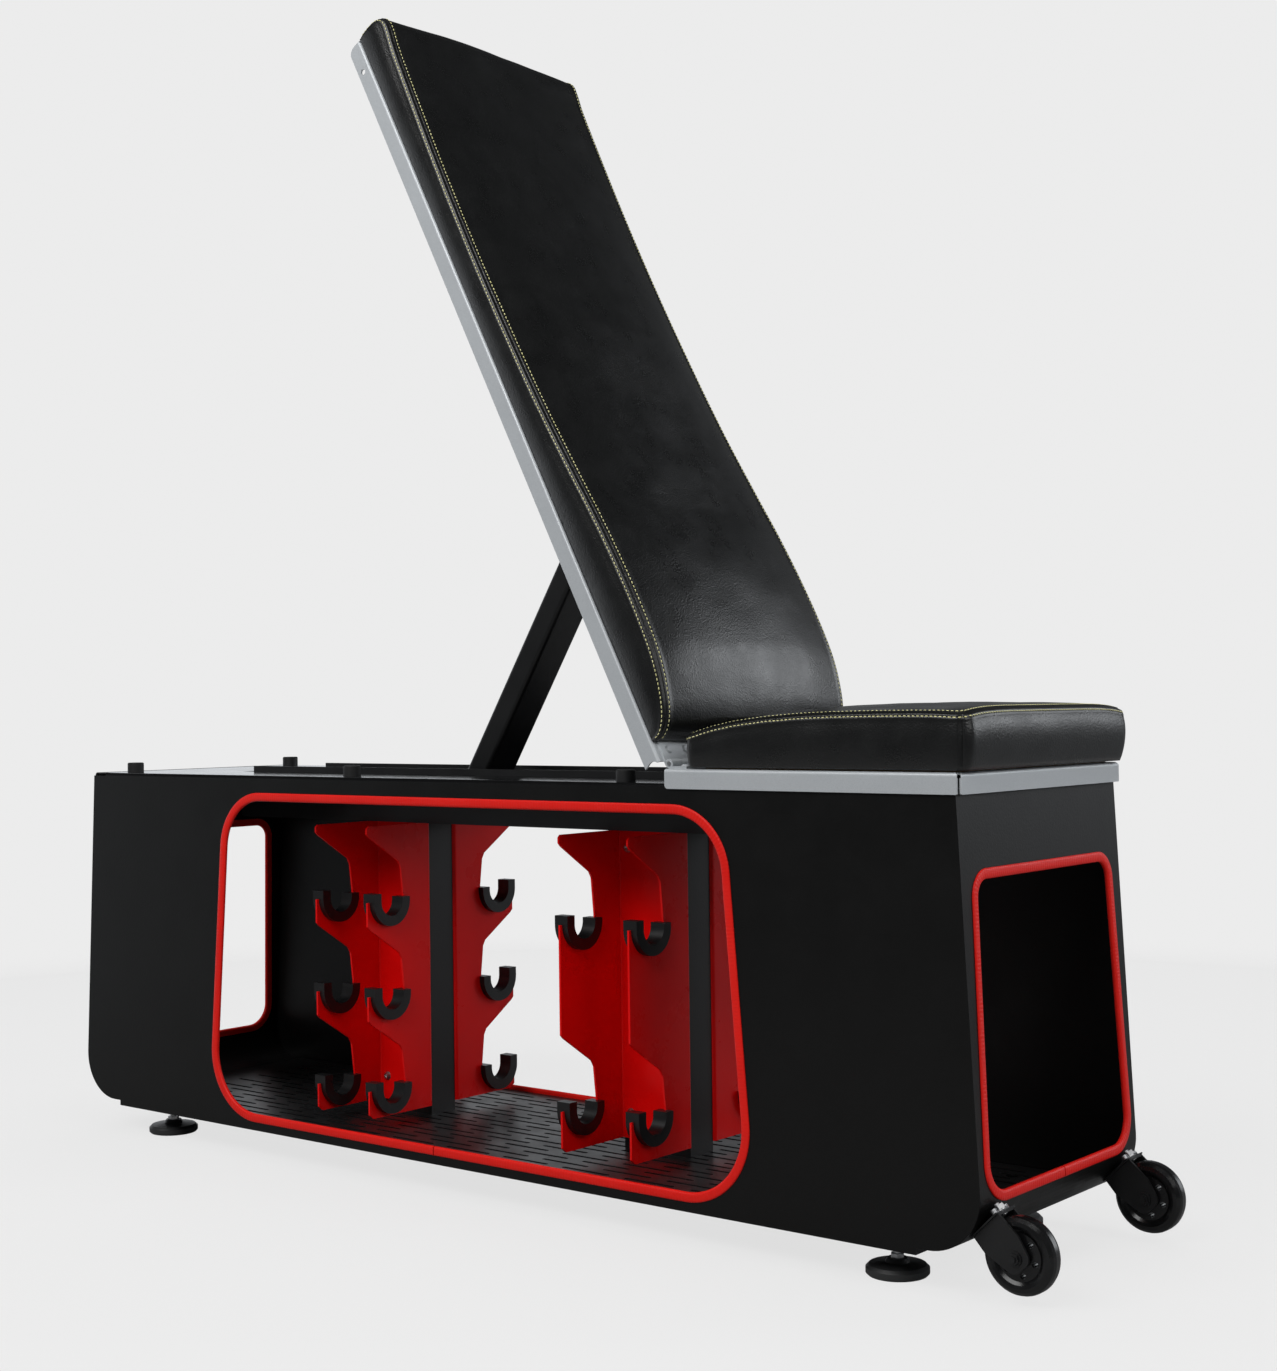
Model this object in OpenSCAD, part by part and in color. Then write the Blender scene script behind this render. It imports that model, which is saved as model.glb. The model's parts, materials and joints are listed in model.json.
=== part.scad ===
// Adjustable weight bench on a sheet-steel storage cabinet.
// +X points to the foot end (seat and transport wheels), +Z up, floor at z = 0.

/* [Cabinet] */
// Length of the cabinet at its top edge
cab_len_top = 1280; // [1240:5:1320]
// Width of the cabinet over its two side panels
cab_w = 318; // [314:1:320]
// Height of the cabinet top above the floor
cab_top = 462.3; // [462.3]
// Outward slope of both end panels in degrees
end_slope = 3.07; // [2.5:0.01:3.6]
// Radius of the wrapped lower corners
corner_r = 55; // [50:1:60]
// Height of the wrapped sheet above the floor
wrap_z = 42; // [42]
// Sheet thickness of the cabinet
sheet = 2; // [2]

/* [Openings] */
// Half width of a side opening at its top edge
side_half_top = 373; // [365:1:376]
// Half width of a side opening at its bottom edge
side_half_bot = 404; // [396:1:406]
// Height of the lower edge of a side opening
side_z0 = 54; // [52:1:58]
// Height of the upper edge of a side opening
side_z1 = 433; // [425:1:434]
// Half width of an end opening at its top edge
end_half_top = 132; // [125:1:133]
// Half width of an end opening at its bottom edge
end_half_bot = 141; // [134:1:142]
// Height of the lower edge of an end opening
end_z0 = 95; // [94:1:100]
// Height of the upper edge of an end opening
end_z1 = 380; // [370:1:385]

/* [Racks] */
// Spacing of the three saddles of the head rack
rack3_pitch = 110; // [108:1:111]
// Spacing of the two saddles of the foot rack
rack2_pitch = 200; // [195:1:204]
// Depth of a rack wing from its web
wing_d = 104; // [100:1:106]
// Radius of the saddle groove that takes a handle
saddle_r = 17; // [15:0.5:18]

/* [Backrest] */
// Angle of the backrest above the flat position
back_angle = 62.64; // [62.64]
// Length of the backrest tray
back_len = 925; // [925]
// Half width of the backrest and seat trays
tray_half = 162; // [162]
// Depth of the tray flanges
flange = 20; // [20]

/* [Strut] */
// Angle of the strut above the horizontal
strut_angle = 58; // [58]
// Length of the strut between its pivot pin and its foot bar
strut_len = 390.6; // [390.6]
// Width of the strut tube across the bench
strut_w = 50; // [46:1:52]
// Thickness of the strut tube
strut_t = 30; // [28:1:32]

/* [Wheels and feet] */
// Diameter of a transport wheel
wheel_d = 71; // [68:1:71]
// Width of a transport wheel
wheel_w = 20; // [18:1:22]
// Diameter of a levelling foot
foot_d = 61; // [56:1:64]

/* [Hidden] */
$fn = 48;
cab_x = -31;
hinge_x = 309.3;
hinge_z = 482;
piv_a = 357.1;
piv_b = 32.4;
hx = cab_len_top / 2;
hy = cab_w / 2;
k = tan(end_slope);
arc_x = hx + k * (cab_top - 97) - corner_r * (cos(end_slope) + k * sin(end_slope));
arc_z = wrap_z + corner_r;
bend = 4;
bend_x = hx + k * bend - bend / cos(end_slope);
tray_top = 477;
trough_y = 62;
trough_x0 = -462;
trough_x1 = 330;
trough_z = 405;
lip_z = 469.7;
lip_x0 = -438.5;
bump_x = [-590, -181, 233];
bump_y = 131;
foot_x = 543.5;
foot_y = 112.5;
wheel_x = 686.6;
wheel_y = 132.5;
wheel_z = 45;
axle_r = 4;
stud_r = 4;
rackA = [-255, -165];
rackB = [131, 229];
web_y = 20;
rack_z0 = 62;
rack_z1 = 403;
sadA = [94, 94 + rack3_pitch, 94 + 2 * rack3_pitch];
sadB = [106, 106 + rack2_pitch];
sad_q = 72;
hinge_y = [-115, 115];
hinge_l = 80;
knuckle_r = 4.6;
seat_x0 = 308.5;
seat_x1 = 646.5;
black = [0.05, 0.05, 0.05];
red = [0.83, 0.1, 0.08];
silver = [0.66, 0.67, 0.68];

function unit(v) = v / norm(v);
function corner(a, b, c, r, n) =
    let (u = unit(a - b), v = unit(c - b), A = acos(u * v), d = r / tan(A / 2),
         o = b + unit(u + v) * (r / sin(A / 2)), p = b + u * d - o, q = b + v * d - o,
         a0 = atan2(p[1], p[0]), t = atan2(q[1], q[0]) - a0,
         da = t > 180 ? t - 360 : (t < -180 ? t + 360 : t))
    [for (i = [0:n]) o + r * [cos(a0 + da * i / n), sin(a0 + da * i / n)]];
function rounded(P, R, n = 8) = let (m = len(P))
    [for (i = [0:m - 1]) each (R[i] <= 0 ? [P[i]] : corner(P[(i + m - 1) % m], P[i], P[(i + 1) % m], R[i], n))];
function arc(c, r, a0, a1, n) = [for (i = [0:n]) c + r * [cos(a0 + (a1 - a0) * i / n), sin(a0 + (a1 - a0) * i / n)]];
function rev(v) = [for (i = [len(v) - 1:-1:0]) v[i]];
function end_x(z) = hx + k * (cab_top - z);
// trapezoid hole outline grown by g
function side_hole(g) = let (m = (side_half_bot - side_half_top) / (side_z1 - side_z0))
    rounded([[-(side_half_bot + g + m * g), side_z0 - g], [side_half_bot + g + m * g, side_z0 - g],
             [side_half_top + g - m * g, side_z1 + g], [-(side_half_top + g - m * g), side_z1 + g]],
            [71 + g, 71 + g, 63 + g, 63 + g], 16);
function end_hole(g) = let (m = (end_half_bot - end_half_top) / (end_z1 - end_z0))
    rounded([[-(end_half_bot + g + m * g), end_z0 - g], [end_half_bot + g + m * g, end_z0 - g],
             [end_half_top + g - m * g, end_z1 + g], [-(end_half_top + g - m * g), end_z1 + g]],
            [29 + g, 29 + g, 19 + g, 19 + g], 12);
// sheet path of an end panel, t = distance inside the outer face
function end_path(t) = concat(
    [[592, wrap_z + t]],
    arc([arc_x, arc_z], corner_r - t, -90, end_slope, 16),
    arc([bend_x, cab_top - bend], bend - t, end_slope, 90, 6),
    [[616, cab_top - t]]);
function outline() = concat(
    [[592, wrap_z]],
    arc([arc_x, arc_z], corner_r, -90, end_slope, 16),
    [[end_x(cab_top - bend), cab_top - bend], [-end_x(cab_top - bend), cab_top - bend]],
    [for (p = rev(arc([arc_x, arc_z], corner_r, -90, end_slope, 16))) [-p[0], p[1]]],
    [[-592, wrap_z]]);

module place() translate([cab_x, 0, 0]) children();
module xz(y0, y1) translate([0, y1, 0]) rotate([90, 0, 0]) linear_extrude(height = y1 - y0) children();
module yz(x0, x1) translate([x0, 0, 0]) rotate([90, 0, 90]) linear_extrude(height = x1 - x0) children();
module back_place() translate([cab_x + hinge_x, 0, hinge_z]) rotate([0, back_angle, 0]) children();
module strut_place() back_place() translate([-piv_a, 0, -piv_b]) rotate([0, -strut_angle - back_angle, 0]) children();
module yrod(r, l) rotate([90, 0, 0]) cylinder(r = r, h = l, center = true);
module box(a, b) translate(a) cube(b - a);
module four_feet() for (sx = [-1, 1], sy = [-1, 1]) translate([sx * foot_x, sy * foot_y, 0]) children();

// ---- cabinet ----
module end_plane() translate([end_x(0) - sheet / cos(end_slope), 0, 0]) rotate([0, -end_slope, 0]) rotate([90, 0, 90]) children();
module side_panel(s) color(black) place()
    difference() {
        if (s < 0) xz(-hy, -hy + sheet) polygon(outline());
        else xz(hy - sheet, hy) polygon(outline());
        xz(-hy - 5, hy + 5) polygon(side_hole(0));
    }
module side_panel_near() side_panel(-1);
module side_panel_far() side_panel(1);

module end_panel() color(black)
    difference() {
        xz(-hy + sheet, hy - sheet) polygon(concat(end_path(0), rev(end_path(sheet))));
        end_plane() translate([0, 0, -15]) linear_extrude(height = 40) polygon(end_hole(0));
    }
module end_panel_foot() place() end_panel();
module end_panel_head() place() mirror([1, 0, 0]) end_panel();

module top_plate() color(black) place()
    difference() {
        yz(-616, 616) polygon(concat(
            arc([hy - bend, cab_top - bend], bend, 0, 90, 6),
            [for (p = rev(arc([hy - bend, cab_top - bend], bend, 0, 90, 6))) [-p[0], p[1]]],
            [for (p = arc([hy - bend, cab_top - bend], bend - sheet, 0, 90, 6)) [-p[0], p[1]]],
            rev(arc([hy - bend, cab_top - bend], bend - sheet, 0, 90, 6))));
        box([trough_x0, -trough_y, 450], [trough_x1, trough_y, 470]);
        for (x = bump_x, s = [-1, 1]) translate([x, s * bump_y, 450]) cylinder(r = 2.6, h = 20);
    }

module strut_trough() color(black) place()
    difference() {
        union() {
            box([trough_x0, -trough_y, trough_z], [trough_x1, trough_y, cab_top]);
            box([lip_x0, -trough_y, cab_top - 1], [trough_x1, trough_y, lip_z]);
        }
        box([trough_x0 + sheet, -trough_y + sheet, trough_z + sheet], [trough_x1 - sheet, trough_y - sheet, lip_z + 5]);
        box([trough_x1 - sheet - 1, -trough_y + sheet, cab_top], [trough_x1 + 1, trough_y - sheet, lip_z + 5]);
    }

// toothed side rails of the ladder, inside the trough
function teeth() = [for (i = [0:11]) each [[-425 + 50 * i, 442], [-421 + 50 * i, 430], [-405 + 50 * i, 430], [-397 + 50 * i, 442]]];
module ladder_rails() color([0.12, 0.12, 0.12]) place()
    for (s = [-1, 1])
        translate([0, s * 43, 0]) xz(-3, 3)
            polygon(concat([[-455, trough_z + sheet], [-455, 442]], teeth(), [[220, 442], [220, trough_z + sheet]]));

module floor_tray() color([0.08, 0.08, 0.09]) place()
    difference() {
        union() {
            box([-600, -154.8, 48], [600, 154.8, 50]);
            box([-590, -154.8, 37.5], [590, -152.8, 50]);
            box([-590, 152.8, 37.5], [590, 154.8, 50]);
        }
        translate([0, 0, 40]) linear_extrude(height = 20)
            for (j = [-8:8], i = [-6:6])
                translate([i * 86 + (j % 2 == 0 ? 0 : 43), j * 16.5]) {
                    square([60, 5], center = true);
                    translate([-30, 0]) circle(r = 2.5, $fn = 16);
                    translate([30, 0]) circle(r = 2.5, $fn = 16);
                }
        four_feet() cylinder(r = 7, h = 60);
    }

module base_pan() color(black) place()
    difference() {
        box([-592, -hy, 35.5], [592, hy, wrap_z]);
        box([-590, -hy + sheet, 37.5], [590, hy - sheet, wrap_z + 1]);
        four_feet() translate([0, 0, 30]) cylinder(r = 5, h = 20);
    }

module trim(outer, hole, inner) difference() {
    translate([0, 0, -1.8]) linear_extrude(height = sheet + 3.6) difference() { polygon(outer); polygon(inner); }
    linear_extrude(height = sheet) difference() { polygon(side_big()); polygon(hole); }
}
function side_big() = [[-900, -900], [900, -900], [900, 900], [-900, 900]];
module side_trim(s) color(red) place()
    translate([0, s < 0 ? -hy + sheet : hy, 0]) rotate([90, 0, 0]) trim(side_hole(8.5), side_hole(0), side_hole(-1.6));
module opening_trim_near() side_trim(-1);
module opening_trim_far() side_trim(1);
module end_trim() color(red)
    difference() {
        end_plane() trim(end_hole(8.5), end_hole(0), end_hole(-1.6));
        // the sheet starts to curve inwards just above the edging's lower lip
        end_panel();
    }
module opening_trim_foot() place() end_trim();
module opening_trim_head() place() mirror([1, 0, 0]) end_trim();

// ---- racks ----
module column(r) color(black) place()
    difference() {
        box([r[0] + 3, -web_y, 50], [r[1] - 3, web_y, trough_z]);
        box([r[0] + 6, -web_y + 3, 49], [r[1] - 6, web_y - 3, trough_z + 1]);
        for (x = [r[0] + 14, r[1] - 14], z = [90, 383]) translate([x, 0, z]) yrod(3.1, 60);
    }
module rack_column_head() column(rackA);
module rack_column_foot() column(rackB);

// wing outline, q = distance from the web
function wing(sad, zlo, zhi, drop) = let (n = len(sad), d = wing_d, r = 26)
    concat([[0, zlo], [d - 6, zlo], [d, zlo + 5]],
        [for (i = [0:n - 1]) let (top = i < n - 1 ? sad[i + 1] - drop : zhi - 10) each concat(
            [[d, sad[i]]],
            [for (j = [0:12]) [sad_q + r * cos(-j * 15), sad[i] + r * sin(-j * 15)]],
            [[sad_q - r, sad[i] + 6], [sad_q - r + 4, top - 40], [sad_q - r + 8, top - 33], [d - 4, top - 3], [d, top + 1]])],
        [[d, zhi - 3], [d - 3, zhi], [0, zhi]]);
// channel section seen from above, q from the web outwards, with bent corners
module channel(r) {
    d = wing_d + 5;
    difference() {
        polygon(rounded([[r[0], 0], [r[1], 0], [r[1], d], [r[0], d]], [4, 4, 0, 0], 6));
        polygon(rounded([[r[0] + 2.5, 2.5], [r[1] - 2.5, 2.5], [r[1] - 2.5, d + 1], [r[0] + 2.5, d + 1]], [1.5, 1.5, 0, 0], 6));
    }
}
module rack(r, sad, s, drop) color(red) place()
    difference() {
        mirror([0, s > 0 ? 0 : 1, 0]) translate([0, web_y, 0]) intersection() {
            translate([0, 0, rack_z0]) linear_extrude(height = rack_z1 - rack_z0) channel(r);
            yz(r[0] - 1, r[1] + 1) polygon(wing(sad, rack_z0, rack_z1, drop));
        }
        for (x = [r[0] + 14, r[1] - 14], z = [90, 383]) translate([x, 0, z]) yrod(3.1, 60);
    }
module rack_head_near() rack(rackA, sadA, -1, 29);
module rack_head_far() rack(rackA, sadA, 1, 29);
module rack_foot_near() rack(rackB, sadB, -1, 119);
module rack_foot_far() rack(rackB, sadB, 1, 119);

// moulded saddle liner pushed over the wing edge
module saddle(x, z, s) translate([x, s * (web_y + sad_q), z])
    difference() {
        union() {
            difference() {
                rotate([0, 90, 0]) cylinder(r = 29, h = 18, center = true);
                translate([-20, -40, 0]) cube([40, 80, 40]);
            }
            translate([-9, s > 0 ? 17 : -29, -1]) cube([18, 12, 11]);
            translate([-9, s > 0 ? -29 : 17, -1]) cube([18, 12, 5]);
        }
        rotate([0, 90, 0]) cylinder(r = saddle_r, h = 30, center = true);
        difference() {
            translate([-1.35, -40, -40]) cube([2.7, 80, 80]);
            rotate([0, 90, 0]) cylinder(r = 25.8, h = 60, center = true);
            translate([-10, s > 0 ? 0 : -40, 0]) cube([20, 40, 40]);
        }
    }
module saddles(r, sad, s) color([0.06, 0.06, 0.06]) place()
    for (x = [r[0] + 1.25, r[1] - 1.25], z = sad) saddle(x, z, s);
module saddles_head_near() saddles(rackA, sadA, -1);
module saddles_head_far() saddles(rackA, sadA, 1);
module saddles_foot_near() saddles(rackB, sadB, -1);
module saddles_foot_far() saddles(rackB, sadB, 1);

module button_screw() {
    difference() {
        cylinder(r1 = 5.5, r2 = 3.6, h = 3.2);
        translate([0, 0, 1.2]) cylinder(r = 2, h = 3, $fn = 6);
    }
    translate([0, 0, -8]) cylinder(r = 3, h = 8);
}
module rack_screws() color([0.7, 0.7, 0.72]) place()
    for (r = [rackA, rackB], x = [r[0] + 14, r[1] - 14], z = [90, 383], s = [-1, 1])
        translate([x, s * (web_y + 2.5), z]) rotate([s < 0 ? 90 : -90, 0, 0]) button_screw();

// ---- bumpers ----
module bumpers() color(black) place()
    for (x = bump_x, s = [-1, 1]) translate([x, s * bump_y, cab_top])
        difference() {
            union() { cylinder(r = 10.3, h = 11.2); translate([0, 0, 11.2]) cylinder(r1 = 10.3, r2 = 9.3, h = 1.1); }
            translate([0, 0, 4]) cylinder(r = 4.8, h = 20);
            translate([0, 0, -1]) cylinder(r = 2.6, h = 20);
        }
module bumper_screws() color([0.7, 0.7, 0.72]) place()
    for (x = bump_x, s = [-1, 1]) translate([x, s * bump_y, cab_top]) {
        translate([0, 0, 4]) cylinder(r = 4.4, h = 3.5);
        translate([0, 0, -9]) cylinder(r = 2.5, h = 13.5);
        translate([0, 0, -6.2]) cylinder(r = 4.6, h = 4.2, $fn = 6);
    }

// ---- seat ----
// folded tray: section across the bench, bends of radius ro
function u_sec(h, top, depth, ro) = concat(
    [[-h, top - depth]], arc([-h + ro, top - ro], ro, 180, 90, 5), arc([h - ro, top - ro], ro, 90, 0, 5),
    [[h, top - depth], [h - 2, top - depth]], arc([h - ro, top - ro], ro - 2, 0, 90, 5), arc([-h + ro, top - ro], ro - 2, 90, 180, 5),
    [[-h + 2, top - depth]]);
module seat_tray() color(silver) place()
    difference() {
        union() {
            intersection() {
                yz(seat_x0, seat_x1 - 3) polygon(u_sec(tray_half, tray_top, flange, 3.5));
                xz(-tray_half - 1, tray_half + 1)
                    polygon(rounded([[seat_x0, tray_top - flange], [seat_x1 - 3, tray_top - flange], [seat_x1 - 3, tray_top + 1], [seat_x0, tray_top + 1]], [4, 1.5, 0, 0], 6));
            }
            intersection() {
                xz(-tray_half + 3, tray_half - 3) polygon(concat([[seat_x1 - 9, tray_top]], arc([seat_x1 - 3.5, tray_top - 3.5], 3.5, 90, 0, 5),
                    [[seat_x1, tray_top - flange], [seat_x1 - 2, tray_top - flange]], arc([seat_x1 - 3.5, tray_top - 3.5], 1.5, 0, 90, 5), [[seat_x1 - 9, tray_top - 2]]));
                yz(seat_x1 - 20, seat_x1 + 1)
                    polygon(rounded([[-tray_half + 3, tray_top - flange], [tray_half - 3, tray_top - flange], [tray_half - 3, tray_top + 1], [-tray_half + 3, tray_top + 1]], [1.5, 1.5, 0, 0], 6));
            }
        }
        for (s = [-1, 1]) translate([seat_x1 - 3, s * (tray_half - 3), tray_top - 5]) cylinder(r = 2.4, h = 20);
        for (x = [380, 590], s = [-1, 1]) translate([x, s * 85, 470]) cylinder(r = 4.2, h = 20);
        for (y = hinge_y, d = [-28, 0, 28]) translate([321, y + d, 470]) cylinder(r = 2.6, h = 20);
    }
module seat_spacers() color(black) place()
    for (s = [-1, 1]) difference() {
        box([335, s * 115 - 20, cab_top], [630, s * 115 + 20, tray_top - 2]);
        box([334, s * 115 - 17, cab_top + 3], [631, s * 115 + 17, tray_top - 5]);
    }
module seat_board() color([0.72, 0.56, 0.36]) place()
    difference() {
        box([352, -150, tray_top], [636, 150, tray_top + 12]);
        for (x = [380, 590], s = [-1, 1]) translate([x, s * 85, 470]) cylinder(r = 4.2, h = 40);
    }
module seat_pad() color([0.07, 0.07, 0.07]) place()
    difference() {
        xz(-165, 165)
            polygon(rounded([[334, 481], [652, 478], [652, 533], [590, 540], [505, 540], [410, 537], [333, 524]],
                            [2, 3, 16, 60, 90, 80, 7], 8));
        box([352, -150, 470], [636, 150, tray_top + 12]);
        box([300, -158, 470], [353, 158, 482]);
        box([300, -150, 470], [353, 150, 485]);
        for (x = [380, 590], s = [-1, 1]) translate([x, s * 85, 470]) cylinder(r = 7, h = 25.5);
    }
module seat_bolts() color([0.7, 0.7, 0.72]) place()
    for (x = [380, 590], s = [-1, 1]) translate([x, s * 85, tray_top - 2]) {
        translate([0, 0, -5.5]) cylinder(r = 6.5, h = 5.5, $fn = 6);
        cylinder(r = 4, h = 18);
    }

// ---- hinges ----
// knuckle slots along the hinge: odd slots belong to the backrest leaf
module knuckles(odd, r) for (y = hinge_y, i = [0:4])
    if ((i % 2 == 1) == odd) translate([0, y + (i - 2) * 16, 0]) yrod(r, 15.6);
module knuckle_room(odd, r) for (y = hinge_y, i = [0:4])
    if ((i % 2 == 1) == odd) translate([0, y + (i - 2) * 16, 0]) yrod(r, 16.4);
module hinge_leaves_seat() color(silver) place() translate([hinge_x, 0, hinge_z])
    difference() {
        union() {
            for (y = hinge_y) box([0, y - hinge_l / 2 + 0.2, -5], [22, y + hinge_l / 2 - 0.2, -2.6]);
            knuckles(false, knuckle_r);
        }
        knuckle_room(true, knuckle_r + 0.4);
        for (y = hinge_y) translate([0, y, 0]) yrod(2.5, 90);
        for (y = hinge_y, d = [-28, 0, 28]) translate([321 - hinge_x, y + d, -10]) cylinder(r = 2.6, h = 20);
    }
module hinge_pins() color([0.7, 0.7, 0.72]) place() translate([hinge_x, 0, hinge_z])
    for (y = hinge_y) translate([0, y, 0]) { yrod(2.5, hinge_l + 1); translate([0, hinge_l / 2 + 1, 0]) yrod(3.6, 2); }
module hinge_leaves_back() color(silver) back_place()
    difference() {
        union() {
            for (y = hinge_y) box([-26, y - hinge_l / 2 + 0.2, -5], [0, y + hinge_l / 2 - 0.2, -2.6]);
            knuckles(true, knuckle_r);
        }
        knuckle_room(false, knuckle_r + 0.4);
        for (y = hinge_y) translate([0, y, 0]) yrod(2.55, 90);
        for (y = hinge_y, d = [-28, 0, 28]) translate([-17, y + d, -10]) cylinder(r = 2.6, h = 20);
    }
module rivet() {
    translate([0, 0, -2.6]) cylinder(r1 = 4.6, r2 = 3, h = 1.6);
    translate([0, 0, -9.6]) cylinder(r = 2.5, h = 7.2);
    translate([0, 0, -9]) cylinder(r = 4, h = 2);
}
module hinge_rivets_seat() color([0.12, 0.12, 0.12]) place() translate([hinge_x, 0, hinge_z])
    for (y = hinge_y, d = [-28, 0, 28]) translate([321 - hinge_x, y + d, 0]) rivet();
module hinge_rivets_back() color([0.12, 0.12, 0.12]) back_place()
    for (y = hinge_y, d = [-28, 0, 28]) translate([-17, y + d, 0]) rivet();

// ---- backrest, built flat with its hinge axis at the origin ----
bs0 = 5.6;
module back_tray() color(silver) back_place()
    difference() {
        e = -bs0 - back_len;
        union() {
            intersection() {
                yz(e + 3, -bs0) polygon(u_sec(tray_half, -5, flange, 3.5));
                xz(-tray_half - 1, tray_half + 1)
                    polygon(concat([[-bs0, -4], [-bs0, -8]], arc([-bs0 + 4.5, -15], 8, 119, 200, 8),
                        [[-bs0, -5 - flange]], rounded_corner(e + 3), [[e + 3, -4]]));
            }
            // the head end is folded only as far as the cabinet's top allows when flat
            xz(-tray_half + 3, tray_half - 3) polygon(concat([[e + 9, -5]], arc([e + 3.5, -8.5], 3.5, 90, 180, 5),
                [[e, -17], [e + 2, -17]], arc([e + 3.5, -8.5], 1.5, 180, 90, 5), [[e + 9, -7]]));
        }
        for (s = [-1, 1]) translate([e + 3, s * (tray_half - 3), -10]) cylinder(r = 2.4, h = 20);
        translate([-892.5, 0, -17.2]) yrod(3.4, 400);
        for (x = [-160, -460, -780], s = [-1, 1]) translate([x, s * 85, -20]) cylinder(r = 4.2, h = 20);
        for (y = hinge_y, d = [-28, 0, 28]) translate([-17, y + d, -20]) cylinder(r = 2.6, h = 20);
        for (x = [-piv_a - 26, -piv_a + 26], s = [-1, 1]) translate([x, s * 40, -20]) cylinder(r = 3.2, h = 20);
    }
function rounded_corner(x) = corner([x + 50, -5 - flange], [x, -5 - flange], [x, -4], 9, 6);
module back_board() color([0.72, 0.56, 0.36]) back_place()
    difference() {
        box([-915, -150, -5], [-50, 150, 7]);
        for (x = [-160, -460, -780], s = [-1, 1]) translate([x, s * 85, -20]) cylinder(r = 4.2, h = 40);
        for (x = [-piv_a - 26, -piv_a + 26], s = [-1, 1]) translate([x, s * 40, -20]) cylinder(r = 6.5, h = 40);
    }
module back_pad() color([0.07, 0.07, 0.07]) back_place()
    difference() {
        xz(-165, 165)
            polygon(rounded([[-34, -5], [-24, 10], [-40, 30], [-75, 44], [-150, 53], [-240, 51], [-340, 46], [-521, 43], [-700, 41], [-860, 41], [-929, 44], [-929, -5]],
                            [3, 14, 22, 60, 80, 120, 120, 120, 120, 90, 14, 2], 6));
        box([-915, -150, -10], [-50, 150, 7]);
        box([-52, -158, -10], [-10, 158, -2]);
        for (x = [-160, -460, -780], s = [-1, 1]) translate([x, s * 85, -20]) cylinder(r = 7, h = 36);
    }
module back_bolts() color([0.7, 0.7, 0.72]) back_place() {
    for (x = [-160, -460, -780], s = [-1, 1]) translate([x, s * 85, -7]) {
        translate([0, 0, -5.5]) cylinder(r = 6.5, h = 5.5, $fn = 6);
        cylinder(r = 4, h = 18);
    }
    for (x = [-piv_a - 26, -piv_a + 26], s = [-1, 1]) translate([x, s * 40, 0]) {
        translate([0, 0, -5]) cylinder(r = 5.2, h = 4);
        translate([0, 0, -20]) cylinder(r = 3, h = 16);
        translate([0, 0, -16]) cylinder(r = 5.5, h = 5, $fn = 6);
    }
}

// ---- strut ----
module strut_clevis() color(black) back_place() translate([-piv_a, 0, -piv_b])
    difference() {
        union() {
            box([-38, -50, piv_b - 11], [38, 50, piv_b - 7]);
            for (s = [-1, 1]) xz(s < 0 ? -30 : 26, s < 0 ? -26 : 30)
                polygon(concat([[-26, piv_b - 9], [-26, 12]], arc([0, 0], 13, 150, 390, 16), [[26, 12], [26, piv_b - 9]]));
        }
        yrod(6.05, 100);
        for (x = [-26, 26], s = [-1, 1]) translate([x, s * 40, 0]) cylinder(r = 3.2, h = 40);
    }
module strut_pivot_pin() color([0.7, 0.7, 0.72]) back_place() translate([-piv_a, 0, -piv_b]) {
    yrod(6, 66);
    for (s = [-1, 1]) translate([0, s * 33, 0]) yrod(9, 5);
}
module strut_tube() color(black) strut_place()
    difference() {
        translate([-strut_len - 11, 0, 0]) rotate([90, 0, 90]) linear_extrude(height = strut_len + 21)
            difference() {
                polygon(rounded([[-strut_w / 2, -strut_t / 2], [strut_w / 2, -strut_t / 2], [strut_w / 2, strut_t / 2], [-strut_w / 2, strut_t / 2]], [5, 5, 5, 5], 6));
                polygon(rounded([[-strut_w / 2 + 2.5, -strut_t / 2 + 2.5], [strut_w / 2 - 2.5, -strut_t / 2 + 2.5], [strut_w / 2 - 2.5, strut_t / 2 - 2.5], [-strut_w / 2 + 2.5, strut_t / 2 - 2.5]], [2.5, 2.5, 2.5, 2.5], 6));
            }
        yrod(9, 100);
        translate([-strut_len, 0, 0]) yrod(8, 120);
    }
module strut_bush() color([0.55, 0.55, 0.56]) strut_place()
    difference() { yrod(9, strut_w); yrod(6.06, 100); }
module strut_foot_bar() color([0.55, 0.55, 0.56]) strut_place() translate([-strut_len, 0, 0])
    yrod(8, 104);
module strut_end_cap() color([0.06, 0.06, 0.06]) strut_place() translate([-strut_len - 11, 0, 0]) {
    translate([-2.5, -strut_w / 2 + 0.5, -strut_t / 2 + 0.5]) cube([2.5, strut_w - 1, strut_t - 1]);
    cap_w = strut_w - 5.4;
    translate([0, -cap_w / 2, -9.5]) difference() { cube([2.6, cap_w, 19]); translate([-1, 2, 2]) cube([5, cap_w - 4, 15]); }
}

// ---- levelling feet ----
module foot_nuts() color([0.6, 0.6, 0.62]) place() four_feet() {
    difference() { translate([0, 0, 37.5]) cylinder(r = 7.5, h = 6.5, $fn = 6); translate([0, 0, 20]) cylinder(r = stud_r + 0.05, h = 40); }
    difference() { translate([0, 0, 29.5]) cylinder(r = 7.5, h = 6, $fn = 6); translate([0, 0, 20]) cylinder(r = stud_r + 0.05, h = 40); }
}
module foot(sx, sy) color(black) place() translate([sx * foot_x, sy * foot_y, 0])
    difference() {
        rotate_extrude() polygon([[0, 0], [foot_d / 2 - 2, 0], [foot_d / 2, 2], [foot_d / 2, 7], [foot_d / 2 - 3, 10], [12, 12], [9.5, 16], [0, 16]]);
        translate([0, 0, 5]) cylinder(r = stud_r, h = 20);
    }
module foot_1() foot(-1, -1);
module foot_2() foot(1, -1);
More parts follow.
